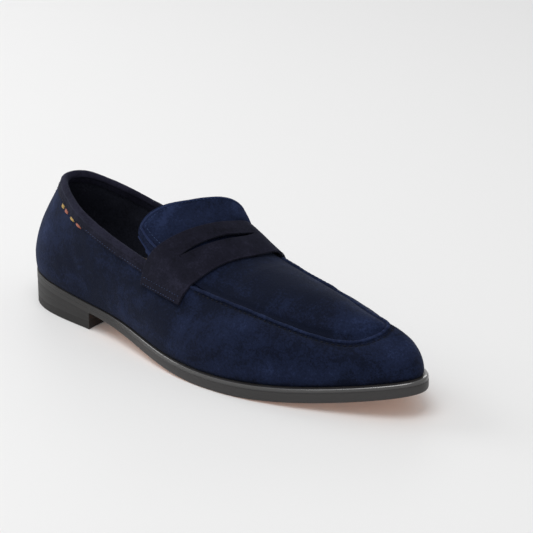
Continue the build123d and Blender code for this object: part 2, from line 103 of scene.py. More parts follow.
# ---- curves and surfaces of the last ----
def smooth_curve(values):
    """A natural cubic through evenly spaced values, as a function of 0 to 1."""
    values = np.asarray(values, float)
    last = len(values) - 1
    matrix, right = np.eye(last + 1), np.zeros_like(values)
    for i in range(1, last):
        matrix[i, i - 1 : i + 2] = (1, 4, 1)
        right[i] = 6 * (values[i - 1] - 2 * values[i] + values[i + 1])
    bend = np.linalg.solve(matrix, right)

    def curve(share):
        reach = limit(np.asarray(share, float)) * last
        i = np.minimum(reach.astype(int), last - 1)
        u = reach - i
        if values.ndim == 2:
            u = u[..., None]
        v = 1 - u
        sag = ((v**3 - v) * bend[i] + (u**3 - u) * bend[i + 1]) / 6
        return v * values[i] + u * values[i + 1] + sag

    return curve


def two_sided(lateral, medial):
    """A function of turn that follows one table on the lateral side and one on the medial."""
    left, right = smooth_curve(lateral), smooth_curve(medial)

    def curve(turn):
        share = np.abs(turn) / math.pi
        return np.where(turn < 0, left(share), right(share))

    return curve


sole_breadth = two_sided(SOLE_LATERAL, SOLE_MEDIAL)
rim_breadth = two_sided(RIM_LATERAL, RIM_MEDIAL)
rim_height = two_sided(RIM_LATERAL_Z, RIM_MEDIAL_Z)
sole_curve, feather_curve = smooth_curve(SOLE_HEIGHT), smooth_curve(FEATHER_HEIGHT)
ledge_at, foot_out, foot_up = smooth_curve(LEDGE), smooth_curve(FOOT_OUT), smooth_curve(FOOT_UP)
rim_out, rim_down = smooth_curve(RIM_OUT), smooth_curve(RIM_DOWN)


def to_frame(points):
    return (np.asarray(points, float) - (MIDDLE_X, -AXIS_Y, 0)) / 1000


def unit(vectors):
    return vectors / np.maximum(np.linalg.norm(vectors, axis=-1, keepdims=True), 1e-9)


def quarter_turn(vectors):
    """Flat vectors turned clockwise by a quarter."""
    return np.stack([vectors[..., 1], -vectors[..., 0]], -1)


def limit(values):
    """Values held between 0 and 1."""
    return np.clip(values, 0, 1)


def between(a, b, share):
    return a + (b - a) * share


def sweep(turn):
    """0 at the heel and 1 at the toe, along the shoe's length."""
    return (1 - np.cos(turn)) / 2


def folded(turn):
    """The same turn between -pi and pi."""
    return np.remainder(turn + math.pi, 2 * math.pi) - math.pi


def sole_z(x):
    return np.maximum(0.0, sole_curve((x - HEEL_X) / SOLE_LENGTH))


def feather_z(x):
    return feather_curve((x - HEEL_X) / SOLE_LENGTH)


def outline(turn, inset=0.0):
    """Sole outline from -pi (toe, lateral side) through 0 (heel) to pi, moved inward."""

    def edge(angle):
        x = HEEL_X + SOLE_LENGTH * sweep(angle)
        return np.stack([x, np.sin(angle) * sole_breadth(angle)], -1)

    tangent = unit(edge(turn + 1e-3) - edge(turn - 1e-3))
    return edge(turn) + np.asarray(inset)[..., None] * quarter_turn(tangent)


def rim(turn):
    """Points of the upper's rim: the collar's edge and the apron seam."""
    turn = folded(turn)
    x = between(*RIM_X, sweep(turn))
    y = between(*RIM_SKEW, sweep(turn)) + np.sin(turn) * rim_breadth(turn)
    return np.stack([x, y, rim_height(turn)], -1)


class Ribs:
    """The wall's ribs at an array of turns: foot, outward direction and Bezier poles (out, up)."""

    def __init__(self, turns):
        self.turns = turns
        share = np.abs(turns) / math.pi
        self.foot = outline(turns, ledge_at(share))
        spine_x = between(*SPINE_X, sweep(turns))
        spine = np.stack([spine_x, np.full_like(turns, SPINE_Y)], -1)
        self.outward = unit(self.foot - spine)

        def off_line(angle):
            away = rim(angle)[:, :2] - spine
            return away[:, 0] * self.outward[:, 1] - away[:, 1] * self.outward[:, 0] > 0

        low, high = turns - 0.5, turns + 0.5
        sign = off_line(low)
        for _ in range(40):
            middle = (low + high) / 2
            same = off_line(middle) == sign
            low, high = np.where(same, middle, low), np.where(same, high, middle)
        top = rim((low + high) / 2)
        run = np.sum((self.foot - top[:, :2]) * self.outward, -1)
        bottom, height = feather_z(self.foot[:, 0]) + FOOT_LIFT, top[:, 2]
        rise = height - bottom
        outs = (0 * run, foot_out(share), rim_out(share) - run, -run)
        ups = (bottom, bottom + foot_up(share) * rise, height - rim_down(share) * rise, height)
        self.poles = np.stack([np.stack(outs, -1), np.stack(ups, -1)], -1)
        self.length = np.linalg.norm(self.poles[:, 3] - self.poles[:, 0], axis=-1)

    def section(self, shares, depth=0.0):
        """(out, up) points at shares of each rib and a depth under the outer surface."""
        v = np.broadcast_to(shares, (len(self.turns), np.shape(shares)[-1]))[..., None]
        u = 1 - v
        p = self.poles[:, :, None, :]
        spot = u**3 * p[:, 0] + 3 * u * u * v * p[:, 1] + 3 * u * v * v * p[:, 2] + v**3 * p[:, 3]
        first, second, third = p[:, 1] - p[:, 0], p[:, 2] - p[:, 1], p[:, 3] - p[:, 2]
        slope = unit(u * u * first + 2 * u * v * second + v * v * third)
        return spot - np.asarray(depth)[..., None] * quarter_turn(slope)

    def lift(self, section):
        """(out, up) points of each rib's plane as design points."""
        xy = self.foot[:, None] + section[..., :1] * self.outward[:, None]
        return np.concatenate([xy, section[..., 1:]], -1)

    def sheet(self, shares, depth=0.0):
        return self.lift(self.section(shares, depth))


RIPPLE_WAVES = 9


def ripple(points, size, amount, seed):
    """Smooth seeded unevenness: a sum of waves about size mm long, amount mm high."""
    rng = np.random.default_rng(seed)
    total = np.zeros(points.shape[:-1])
    for _ in range(RIPPLE_WAVES):
        waves = points @ unit(rng.normal(size=3)) * 2 * math.pi
        length = size * rng.uniform(0.7, 1.5)
        total += np.sin(waves / length + rng.uniform(0, 6.28))
    return amount * total / math.sqrt(RIPPLE_WAVES)


def path_lengths(path):
    return np.append(0, np.cumsum(np.linalg.norm(np.diff(path, axis=0), axis=-1)))


def smoothed(values, rounds):
    """Values averaged with their neighbours a number of times. The two ends stay."""
    for _ in range(rounds):
        values[1:-1] = (values[:-2] + 2 * values[1:-1] + values[2:]) / 4
    return values


def resample(rows, places, spots):
    """Rows that stand at some places, at other spots between them."""
    return np.stack([np.interp(spots, places, column) for column in rows.T], -1)


# ---- meshes ----
def add_object(name, data):
    added = bpy.data.objects.new(name, data)
    bpy.context.scene.collection.objects.link(added)
    return added


def make_object(name, points, faces, sharp=40, tone=None):
    """A mesh object from design points. The tone of a point feeds its material."""
    mesh = bpy.data.meshes.new(name)
    mesh.from_pydata([tuple(p) for p in to_frame(points)], [], faces)
    if tone is not None:
        layer = mesh.attributes.new("tone", "FLOAT", "POINT")
        layer.data.foreach_set("value", np.asarray(tone, np.float32))
    editing = bmesh.new()
    editing.from_mesh(mesh)
    bmesh.ops.remove_doubles(editing, verts=editing.verts, dist=2e-6)
    bmesh.ops.recalc_face_normals(editing, faces=editing.faces)
    editing.to_mesh(mesh)
    editing.free()
    mesh.shade_smooth()
    mesh.set_sharp_from_angle(angle=math.radians(sharp))
    return add_object(name, mesh)


def grid_faces(rows, columns, start=0, wrap=False, gap=None):
    """Faces between the points of a grid, but for one column of them, gap."""
    faces = []
    for i in range(rows if wrap else rows - 1):
        a, b = start + i * columns, start + (i + 1) % rows * columns
        faces += [(a + j, b + j, b + j + 1, a + j + 1) for j in range(columns - 1) if j != gap]
    return faces


def ring_faces(count, size, start=0):
    """Faces between rings of points that follow each other."""
    faces = []
    for first in range(start, start + (count - 1) * size, size):
        for j in range(size):
            a, b = first + j, first + (j + 1) % size
            faces.append((a, b, b + size, a + size))
    return faces


def closed_ring_faces(count, size, start=0):
    """The same with the first and last ring closed by a face each."""
    ends = (start, start + (count - 1) * size)
    return ring_faces(count, size, start) + [tuple(range(end, end + size)) for end in ends]


def side_face(a, b, count):
    """The face from an edge to the same edge of a sheet whose points come count later."""
    return (a, b, b + count, a + count)


def shell(name, outer, inner, wrap=False, tone=None, gap=None, open_rows=(), **options):
    """A closed sheet between an outer and an inner grid, with a slot at gap in the open rows."""
    rows, columns = outer.shape[:2]
    count = rows * columns
    faces = grid_faces(rows, columns, 0, wrap, gap)
    faces += grid_faces(rows, columns, count, wrap, gap)
    for i in range(rows if wrap else rows - 1):
        a, b = i * columns, (i + 1) % rows * columns
        edges = (0, columns - 1, gap, gap + 1) if i in open_rows else (0, columns - 1)
        faces += [side_face(a + j, b + j, count) for j in edges]
    if not wrap:
        for a in (0, count - columns):
            faces += [side_face(a + j, a + j + 1, count) for j in range(columns - 1) if j != gap]
    points = np.concatenate([outer.reshape(-1, 3), inner.reshape(-1, 3)])
    tones = None if tone is None else np.tile(tone.ravel(), 2)
    return make_object(name, points, faces, tone=tones, **options)


def rings(name, loops, **options):
    """A closed body from a stack of closed loops."""
    loops = np.asarray(loops)
    count, size = loops.shape[:2]
    return make_object(name, loops.reshape(-1, 3), closed_ring_faces(count, size), **options)


def tube(name, path, normals, radius, flat, sides, tone):
    """A tube along a path. radius may vary; flat squashes it along the normals."""
    tangent = unit(np.gradient(path, axis=0))
    across = unit(np.cross(tangent, normals))
    upward = unit(np.cross(across, tangent))
    turn = np.linspace(0, 2 * math.pi, sides, endpoint=False)[None, :, None]
    spokes = np.cos(turn) * across[:, None] + flat * np.sin(turn) * upward[:, None]
    loops = path[:, None] + radius[:, None, None] * spokes
    return rings(name, loops, tone=np.repeat(tone, sides))


STITCH_PROFILE = ((0.35, -0.5), (0.9, 0.45), (1.0, 1.0), (0.9, 0.45), (0.35, -0.5))  # swell, height
STITCH_SIDES = 6


def stitch_points(path, normals, pitch, length, radius, rise, seed):
    """Points and faces of a row of stitches: short spindles that dip into the leather."""
    rng = np.random.default_rng(seed)
    track, places = np.concatenate([path, normals], -1), path_lengths(path)
    sides, rounds = STITCH_SIDES, len(STITCH_PROFILE)
    turns = np.linspace(0, 2 * math.pi, sides, endpoint=False)
    points, faces = [], []
    for middle in np.arange(pitch / 2, places[-1] - pitch / 2 + 1e-6, pitch):
        reach = length / 2 * rng.uniform(0.9, 1.1)
        here = resample(track, places, middle + np.linspace(-reach, reach, rounds))
        along = unit(here[-1, :3] - here[0, :3])
        up = unit(here[2, 3:])
        side = unit(np.cross(along, up)) + rng.normal(scale=0.04, size=3)
        base = len(points)
        for spot, (swell, height) in zip(here[:, :3], STITCH_PROFILE):
            centre = spot + up * rise * height
            for angle in turns:
                spoke = math.cos(angle) * side + 0.8 * math.sin(angle) * up
                points.append(centre + radius * swell * spoke)
        faces += closed_ring_faces(rounds, sides, base)
    return points, faces


def stitches(name, rows, pitch, length, radius, rise, slot="thread_navy", look=None):
    """One piece holding the stitches of one or more rows, each a path and its normals."""
    points, faces = [], []
    for seed, (path, normals) in enumerate(rows):
        more, links = stitch_points(path, normals, pitch, length, radius, rise, seed + 1)
        faces += [tuple(v + len(points) for v in face) for face in links]
        points += more
    return finish_piece(make_object(name, np.array(points), faces), slot, look=look)


def finish_piece(piece, slot, *nodes, look=None):
    """Give a piece its material, picked by its slot, and its body, and hide the CAD nodes that it
    stands for.
    """
    piece.data.materials.append(look or LOOKS[slot])
    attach(piece, "root")
    if nodes:
        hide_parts(*nodes)
    return piece


def soften(piece, width):
    """Round the piece's crisp edges."""
    bevel = piece.modifiers.new("soft_edges", "BEVEL")
    bevel.width = width / 1000
    bevel.segments = 2
    bevel.limit_method = "ANGLE"
    bevel.angle_limit = math.radians(35)
    return piece


# ---- materials ----
class Look:
    """A procedural material: noises in the frame's own metres feed colour, roughness and bump."""

    def __init__(self, name, roughness, specular, **sockets):
        self.material = bpy.data.materials.new(name)
        self.material.use_nodes = True
        self.tree = self.material.node_tree
        self.surface = self.tree.nodes["Principled BSDF"]
        self.fill(self.surface, Roughness=roughness, Specular_IOR_Level=specular, **sockets)
        self.where = self.node("ShaderNodeTexCoord").outputs["Object"]
        self.normal = None

    def fill(self, node, **inputs):
        """Feed a node's inputs, whose names have _ for a space."""
        for key, value in inputs.items():
            self.feed(node.inputs[key.replace("_", " ")], value)

    def node(self, kind, **inputs):
        made = self.tree.nodes.new(kind)
        self.fill(made, **inputs)
        return made

    def feed(self, socket, value):
        """Link a socket to another node's output, or set it to a constant."""
        if isinstance(value, bpy.types.NodeSocket):
            self.tree.links.new(value, socket)
        else:
            socket.default_value = value

    def stretched(self, x, y, z):
        return self.node("ShaderNodeMapping", Vector=self.where, Scale=(x, y, z)).outputs[0]

    def noise(self, size_mm, detail, rough=0.55, where=None, distort=0.0):
        made = self.node("ShaderNodeTexNoise", Vector=where or self.where, Scale=1000 / size_mm)
        self.fill(made, Detail=detail, Roughness=rough, Distortion=distort)
        return made.outputs["Fac"]

    def cells(self, size_mm):
        made = self.node("ShaderNodeTexVoronoi", Vector=self.where, Scale=1000 / size_mm)
        return made.outputs["Distance"]

    def tone(self):
        made = self.node("ShaderNodeAttribute")
        made.attribute_name = "tone"
        return made.outputs["Fac"]

    def maths(self, operation, a, b=0.0):
        made = self.node("ShaderNodeMath")
        made.operation = operation
        for socket, value in zip(made.inputs, (a, b)):
            self.feed(socket, value)
        return made.outputs[0]

    def blend(self, *weighted):
        """The weighted sum of values."""
        total = None
        for value, weight in weighted:
            share = self.maths("MULTIPLY", value, weight)
            total = share if total is None else self.maths("ADD", total, share)
        return total

    def ramp(self, value, *stops):
        made = self.node("ShaderNodeValToRGB", Fac=value)
        made.color_ramp.interpolation = "EASE"
        while len(made.color_ramp.elements) < len(stops):
            made.color_ramp.elements.new(0.5)
        for element, (place, colour) in zip(made.color_ramp.elements, stops):
            element.position = place
            element.color = (*colour, 1)
        return made.outputs["Color"]

    def paint(self, colour):
        self.fill(self.surface, Base_Color=colour)

    def rough(self, value, low, high):
        made = self.node("ShaderNodeMapRange", Value=value, To_Min=low, To_Max=high)
        self.fill(self.surface, Roughness=made.outputs[0])

    def bump(self, height, strength, depth_mm):
        distance = depth_mm / 1000
        made = self.node("ShaderNodeBump", Height=height, Strength=strength, Distance=distance)
        if self.normal is not None:
            self.fill(made, Normal=self.normal)
        self.normal = made.outputs["Normal"]
        self.fill(self.surface, Normal=self.normal)


def shade(colour, factor):
    return tuple(min(c * factor, 1.0) for c in colour)


def suede_look(name, colour, contrast=1.08, sheen=0.10, nap=1.0):
    """Napped suede: brushed patches that lie light and dark, fine fibres and a soft sheen."""
    tint = (0.32, 0.38, 0.60, 1)
    look = Look(name, 0.95, 0.10, Sheen_Weight=sheen, Sheen_Roughness=0.5, Sheen_Tint=tint)
    patches = look.noise(30, 3, 0.55, distort=1.0)
    strokes = look.noise(14, 5, 0.6, look.stretched(0.7, 0.7, 1.0), distort=1.2)
    flecks = look.noise(1.6, 3, 0.75)
    fibres = look.noise(0.55, 2, 0.75)
    nap_value = look.blend((patches, 0.34), (strokes, 0.22), (flecks, 0.28), (fibres, 0.16))
    # The tone attribute darkens or lightens the colour. It carries the pieces' painted shade and
    # painted highlights, mostly.
    value = look.maths("ADD", nap_value, look.maths("MULTIPLY", look.tone(), 0.5))
    spread = 0.115 / contrast
    dark, light = shade(colour, 0.42), tuple(1.9 * c + 0.0016 for c in colour)
    look.paint(look.ramp(value, (0.5 - spread, dark), (0.5, colour), (0.5 + spread, light)))
    look.bump(strokes, 0.25 * nap, 0.5)
    look.bump(flecks, 0.5 * nap, 0.4)
    look.bump(fibres, 0.7 * nap, 0.2)
    return look.material


def leather_look(name, colour, roughness, grain_mm):
    """Matte leather with a pebbled grain and faint clouds."""
    look = Look(name, roughness, 0.4)
    cloud = look.noise(22, 3)
    grain = look.cells(grain_mm)
    fine = look.noise(0.5, 2)
    value = look.blend((cloud, 0.7), (grain, 0.2), (fine, 0.1), (look.tone(), 0.5))
    look.paint(look.ramp(value, (0.3, shade(colour, 0.75)), (0.62, shade(colour, 1.25))))
    look.rough(cloud, roughness - 0.08, roughness + 0.08)
    look.bump(grain, 0.4, 0.12)
    look.bump(fine, 0.3, 0.04)
    return look.material


def edge_look(name, colour, roughness, coat=0.15, lines=0.5):
    """Waxed, painted leather edge: smooth satin, shinier where the tone is high, and painted lighter
    there as a painted highlight.
    """
    look = Look(name, roughness, 0.35, Coat_Roughness=0.1, Coat_IOR=1.9)
    look.fill(look.surface, Coat_Weight=look.maths("MULTIPLY", look.tone(), coat))
    layers = look.noise(3.0, 3, 0.6, look.stretched(0.3, 0.3, 3.0))
    cloud = look.noise(16, 3)
    # A high tone also lightens the colour: a painted highlight.
    value = look.blend((layers, 0.7 * lines), (cloud, 0.7 * (1 - lines)), (look.tone(), 0.3))
    dark, middle, light = shade(colour, 0.8), shade(colour, 1.1), shade(colour, 1.75)
    look.paint(look.ramp(value, (0.25, dark), (0.45, middle), (0.78, light)))
    dull = look.blend((cloud, 0.6), (look.tone(), -0.8), (1.0, 0.5))
    look.rough(dull, roughness - 0.07, roughness + 0.22)
    look.bump(layers, 0.06, 0.06)
    look.bump(look.noise(0.8, 2), 0.08, 0.05)
    return look.material


def thread_look(name, colour, sheen=0.2):
    look = Look(name, 0.7, 0.2, Sheen_Weight=sheen)
    twist = look.noise(0.5, 2, 0.6, look.stretched(1.0, 0.4, 1.6))
    look.paint(look.ramp(twist, (0.35, shade(colour, 0.65)), (0.65, shade(colour, 1.35))))
    look.bump(twist, 0.6, 0.12)
    return look.material


def speckled_look(name, light, dark, grain_mm, roughness, metallic=0.0, depth=0.15):
    """Ground cork, foam, fibreboard or brushed metal, told apart by grain and colours."""
    look = Look(name, roughness, 0.4, Metallic=metallic)
    cells = look.cells(grain_mm)
    cloud = look.noise(grain_mm * 5, 4)
    look.paint(look.ramp(look.blend((cells, 0.5), (cloud, 0.5)), (0.25, dark), (0.7, light)))
    look.bump(cells, 0.4, depth)
    return look.material


def sole_look(name, tan, black):
    """Tan sole leather, inked where the tone passes 0.6, the ink painted paler towards a tone of 2
    as a painted highlight.
    """
    look = Look(name, 0.5, 0.4)
    grain = look.noise(5, 4, 0.6, look.stretched(0.35, 1.6, 1.0))
    cloud = look.noise(30, 3)
    scuffs = look.noise(2.2, 4, 0.7, look.stretched(0.3, 1.0, 1.0))
    value = look.blend((grain, 0.4), (cloud, 0.35), (scuffs, 0.25))
    leather = look.ramp(value, (0.32, shade(tan, 0.75)), (0.55, tan), (0.75, shade(tan, 1.2)))
    border = look.maths("ADD", look.tone(), look.maths("MULTIPLY", scuffs, 0.12))
    share = look.ramp(border, (0.5, (0, 0, 0)), (0.62, (1, 1, 1)))
    # The ink is painted paler towards a tone of 2, a painted highlight along the forepart's edge.
    depth = look.maths("MULTIPLY", look.tone(), 0.5)
    ink = look.ramp(depth, (0.5, shade(black, 0.95)), (1.0, shade(black, 1.7)))
    mix = look.node("ShaderNodeMix")
    mix.data_type = "RGBA"
    factor, first, second, result = mix.inputs[0], mix.inputs[6], mix.inputs[7], mix.outputs[2]
    look.feed(factor, share)
    look.feed(first, leather)
    look.feed(second, ink)
    look.paint(result)
    look.rough(cloud, 0.42, 0.6)
    look.bump(grain, 0.15, 0.15)
    look.bump(look.cells(0.7), 0.15, 0.06)
    return look.material


NAVY = (0.0080, 0.0130, 0.0360)
INK = (0.0079, 0.0078, 0.0152)
BLACK = (0.0235, 0.0225, 0.0225)
LOOKS = {
    "suede": suede_look("suede_navy", NAVY),
    "suede_piping": suede_look("suede_seam", NAVY, 0.9),
    "nubuck": suede_look("nubuck_ink", INK, 0.95, sheen=0.09, nap=0.8),
    "lining": suede_look("lining_dark", (0.023, 0.025, 0.038), 0.8, sheen=0.05),
    "lining_tan": leather_look("lining_tan", (0.060, 0.040, 0.027), 0.65, 0.9),
    "sock": leather_look("sock_dark", (0.010, 0.011, 0.018), 0.7, 0.8),
    "stiffener": speckled_look("fibreboard", (0.42, 0.33, 0.23), (0.3, 0.22, 0.15), 1.5, 0.85),
    "foam": speckled_look("foam_grey", (0.2, 0.2, 0.21), (0.1, 0.1, 0.11), 0.8, 0.9),
    "cork": speckled_look("cork_ground", (0.45, 0.3, 0.17), (0.18, 0.1, 0.05), 2.5, 0.9, depth=0.4),
    "steel": speckled_look("steel_spring", (0.6, 0.6, 0.62), (0.45, 0.45, 0.48), 0.4, 0.35, 1.0),
    "brass": speckled_look("brass_nail", (0.75, 0.55, 0.22), (0.5, 0.35, 0.12), 0.6, 0.35, 1.0),
    "outsole": sole_look("sole_leather", (0.74, 0.35, 0.16), BLACK),
    "welt": edge_look("welt_edge", BLACK, 0.34, coat=1.0),
    "heel": edge_look("heel_stack", shade(BLACK, 0.92), 0.42, lines=0.1),
    "top_piece": edge_look("rubber_black", shade(BLACK, 0.8), 0.5),
    "thread_mustard": thread_look("thread_mustard", (0.40, 0.26, 0.07)),
    "thread_navy": thread_look("thread_navy", (0.0035, 0.0045, 0.009), sheen=0.02),
}
PALE_THREAD = thread_look("thread_grey", (0.028, 0.050, 0.120), sheen=0.05)


# ---- upper: side wall, seam bead, apron and tongue ----
WALL_TURNS = np.linspace(-math.pi, math.pi, 961)[:-1]
wall_ribs = Ribs(WALL_TURNS)
rim_along = path_lengths(rim(WALL_TURNS))
SEAM_PITCH = 3.4                # from one stitch of the apron seam to the next


def pucker(lengths):
    """1 between two stitches of the seam, 0 where a stitch pulls it in."""
    return 0.5 + 0.5 * np.cos(2 * math.pi * lengths / SEAM_PITCH)


def bell(distance, reach):
    return np.exp(-((distance / reach) ** 2))


HEEL_SWELL, SWELL_REACH = 1.7, 0.85
swell_curve = smooth_curve((0.4, 0.85, 1.0, 0.65, 0.0))


def heel_swell(turns, shares):
    """How far the suede swells beyond the last round the heel, in mm."""
    return HEEL_SWELL * bell(turns, SWELL_REACH)[:, None] * swell_curve(shares)


def seam_weight(turns):
    """1 along the apron seam and 0 along the collar."""
    ahead = np.where(turns < 0, -turns + SEAM_START[0], turns - SEAM_START[1])
    return limit(ahead / 0.1)


# Painted shade round the shoe: the wall's tone at turns from the heel to the toe, darker along the
# middle and the toe, where less light falls than on the heel.
PAINTED_SHADE_TURNS = (0, 0.5, 0.95, 1.6, 2.3, math.pi)
PAINTED_SHADE_TONES = (0, -0.01, -0.17, -0.12, -0.06, -0.10)


def build_wall():
    """The suede wall: tucked in at the feather, grooved and puckered under the seam."""
    shares = 1 - (1 - np.linspace(0, 1, 58)) ** 1.15
    flat = wall_ribs.sheet(shares)
    from_rim = (1 - shares) * wall_ribs.length[:, None]
    from_foot = shares * wall_ribs.length[:, None]
    seam = seam_weight(WALL_TURNS)[:, None]
    tuck = 0.9 * bell(from_foot, 1.1)
    groove = seam * 0.55 * bell(from_rim - 2.0, 1.0)
    pinch = seam * 0.22 * np.exp(-from_rim / 2.6) * pucker(rim_along)[:, None]
    uneven = ripple(flat, 34, 0.22, 3) + ripple(flat, 11, 0.06, 4)
    fade = limit(from_rim / 4) * limit(from_foot / 5)
    depth = tuck + groove + pinch - uneven * fade - heel_swell(WALL_TURNS, shares)
    outer = wall_ribs.sheet(shares, depth)
    inner = wall_ribs.sheet(shares, depth + SUEDE)
    # Painted shade in the wall's tone: darker in the crease at its foot and under the raised seam.
    # It is also a little lighter about 7 mm above the foot.
    tone = -0.20 * np.exp(-from_foot / 2.2) - 0.16 * seam * bell(from_rim - 2.1, 1.1)
    tone += 0.05 * bell(from_foot - 7, 5)
    tone += np.interp(np.abs(WALL_TURNS), PAINTED_SHADE_TURNS, PAINTED_SHADE_TONES)[:, None]
    piece = shell("suede_wall", outer, inner, wrap=True, tone=tone)
    finish_piece(piece, "suede", "side_wall")


build_wall()


def seam_turns(count):
    """Turns along the apron seam, from the lateral strap edge round the toe to the medial one."""
    return np.linspace(2 * math.pi + SEAM_START[0], SEAM_START[1], count)


APRON_MIDDLE = (215.0, 2.0)


def build_bead():
    """The raised seam: a slightly uneven roll of suede along the rim."""
    turns = seam_turns(560)
    path = rim(turns)
    lengths = path_lengths(path)
    path[:, 2] += 0.1 + ripple(path, 15, 0.14, 7)
    path[:, :2] += 0.2 * ripple(path, 12, 1.0, 9)[:, None] * unit(path[:, :2] - APRON_MIDDLE)
    swell = BEAD * (1.04 - 0.10 * pucker(lengths)) + ripple(path, 9, 0.09, 8)
    ends = np.clip(np.minimum(lengths, lengths[-1] - lengths) / 1.5, 0.2, 1)
    # Painted highlight: the bead is painted a little lighter than the suede along its ridge, a
    # little less so between stitches.
    tone = 0.09 - 0.05 * pucker(lengths)
    upward = np.tile((0.0, 0.0, 1.0), (len(path), 1))
    piece = tube("seam_bead", path, upward, swell * ends, 0.95, 12, tone)
    finish_piece(piece, "suede_piping", "apron_piping")


build_bead()

TOE_CREST = 44.1                # height of the apron's crest at the toe's seam
SEAM_GAP = 0.35                 # the apron starts this far inside the rim


def seam_row(turn, crest):
    """An arch between the two points of the rim at a turn."""
    left, right = rim(-turn), rim(turn)
    inner = SEAM_GAP * unit(right - left)
    return np.concatenate([left + inner, right - inner, [crest, 2.0, 1.0]])


def chord_rows():
    """Left end, right end, crest, power and root of each arch, from the toe to the tongue's top."""
    crest_turns = (math.pi, *SEAM_TURNS)[::-1]
    crests = (TOE_CREST, *SEAM_CREST)[::-1]
    turns = np.concatenate([np.linspace(3.13, 2.6, 60)[:-1], np.linspace(2.6, 1.9, 60)])
    seam_rows = [seam_row(turn, np.interp(turn, crest_turns, crests)) for turn in turns]
    tongue = [seam_row(turn, crest) for turn, crest in zip(SEAM_TURNS[4:], SEAM_CREST[4:])]
    for i, (left, right, crest) in enumerate(TONGUE_CHORDS):
        grow = (i + 1) / len(TONGUE_CHORDS)
        tongue.append(np.concatenate([left, right, [crest, 2 + grow, 1 + grow]]))
    curve = smooth_curve(tongue)
    rows = np.concatenate([seam_rows, curve(np.linspace(1 / 6 + 0.004, 1, 110))])
    lengths = path_lengths((rows[:, :3] + rows[:, 3:6]) / 2)
    rows[:, 6] = smoothed(rows[:, 6], 6)
    return resample(rows, lengths, np.linspace(0, lengths[-1], 190))


def arch_points(rows, shares, depth=0.0):
    """Design points at shares across each arch, a depth under its surface."""
    left, right = rows[:, None, :3], rows[:, None, 3:6]
    crest, power, root = rows[:, None, 6], rows[:, None, 7], rows[:, None, 8]
    run = np.linalg.norm((right - left)[..., :2], axis=-1)
    rise = crest - (left[..., 2] + right[..., 2]) / 2

    def spot(s):
        swell = np.maximum(0.0, 1 - np.abs(2 * s - 1) ** power) ** (1 / root)
        return np.stack([s * run, left[..., 2] + s * (right - left)[..., 2] + rise * swell], -1)

    s = np.broadcast_to(shares, (len(rows), len(shares)))
    slope = unit(spot(np.minimum(s + 2e-3, 1)) - spot(np.maximum(s - 2e-3, 0)))
    flat = spot(s) + np.asarray(depth)[..., None] * quarter_turn(slope)
    across = unit((right - left)[..., :2])
    return np.concatenate([left[..., :2] + flat[..., :1] * across, flat[..., 1:]], -1)


ROWS = chord_rows()
ROW_RUNS = np.linalg.norm(ROWS[:, 3:5] - ROWS[:, :2], axis=-1)
TONGUE_ROW = 150                # the first row whose edges are free, under the strap
UNDERLAY_ROW = 132              # the first row of the tongue's lining


def eased(count):
    """Shares from 0 to 1 that lie closer together at both ends."""
    return 0.5 - 0.5 * np.cos(np.linspace(0, math.pi, count))


def build_apron():
    """The apron and tongue as one sheet, grooved beside the seam."""
    shares = eased(84)
    flat = arch_points(ROWS, shares)
    from_edge = np.minimum(shares, 1 - shares) * ROW_RUNS[:, None]
    index = np.arange(len(ROWS))[:, None]
    forward = limit((TONGUE_ROW - index) / 20)
    ditch = forward * 0.5 * bell(from_edge - 2.2, 1.2)
    fade = limit(from_edge / 5)
    depth = ditch - fade * (ripple(flat, 38, 0.25, 5) + ripple(flat, 12, 0.06, 6))
    outer = arch_points(ROWS, shares, depth)
    inner = arch_points(ROWS, shares, depth + SUEDE)
    # Painted shade in the apron's tone: darker in the groove beside the seam and along the middle
    # rows between the toe and the tongue. It is also a little lighter about 9 mm in from the edges.
    tone = -0.10 * forward * bell(from_edge - 1.8, 1.2) + 0.03 * bell(from_edge - 9, 6)
    tone = tone - 0.17 * limit((index - 12) / 35) * limit((TONGUE_ROW - index) / 25)
    finish_piece(shell("suede_apron", outer, inner, tone=tone), "suede", "apron")


build_apron()


def tongue_border(inset, depth):
    """The tongue's free edge, from the strap up the lateral side, over the top and down again."""
    places = np.arange(len(ROWS))
    step = path_lengths((ROWS[:, :3] + ROWS[:, 3:6]) / 2)
    last = len(ROWS) - 1 - inset / (step[-1] - step[-2])
    side_rows = np.linspace(TONGUE_ROW, last, 46)[:-4]
    side_shares = inset / np.interp(side_rows, places, ROW_RUNS)
    top = inset / np.interp(last, places, ROW_RUNS)
    top_shares = top + (1 - 2 * top) * eased(90)
    row_track = np.concatenate([side_rows, np.full(len(top_shares), last), side_rows[::-1]])
    share_track = np.concatenate([side_shares, top_shares, 1 - side_shares[::-1]])
    tracks = zip(resample(ROWS, places, row_track), share_track)
    points = [arch_points(arch[None], [share], depth)[0, 0] for arch, share in tracks]
    return smoothed(np.array(points), 8)


INSTEP = (150.0, 0.0, 45.0)


def build_tongue_edge():
    """The tongue's rolled edge and the row of stitches beside it."""
    path = tongue_border(0.9, 0.35)
    # Painted highlight: the rolled edge is painted lighter than the suede.
    tone = np.full(len(path), 0.30)
    radius = 0.85 + ripple(path, 9, 0.06, 12)
    piece = tube("tongue_edge", path, unit(path - INSTEP), radius, 0.9, 10, tone)
    finish_piece(piece, "suede_piping")
    row = tongue_border(2.6, 0.0)
    rows = [(row, unit(row - INSTEP))]
    stitches("tongue_stitches", rows, 2.3, 1.2, 0.24, 0.15, look=PALE_THREAD)


build_tongue_edge()


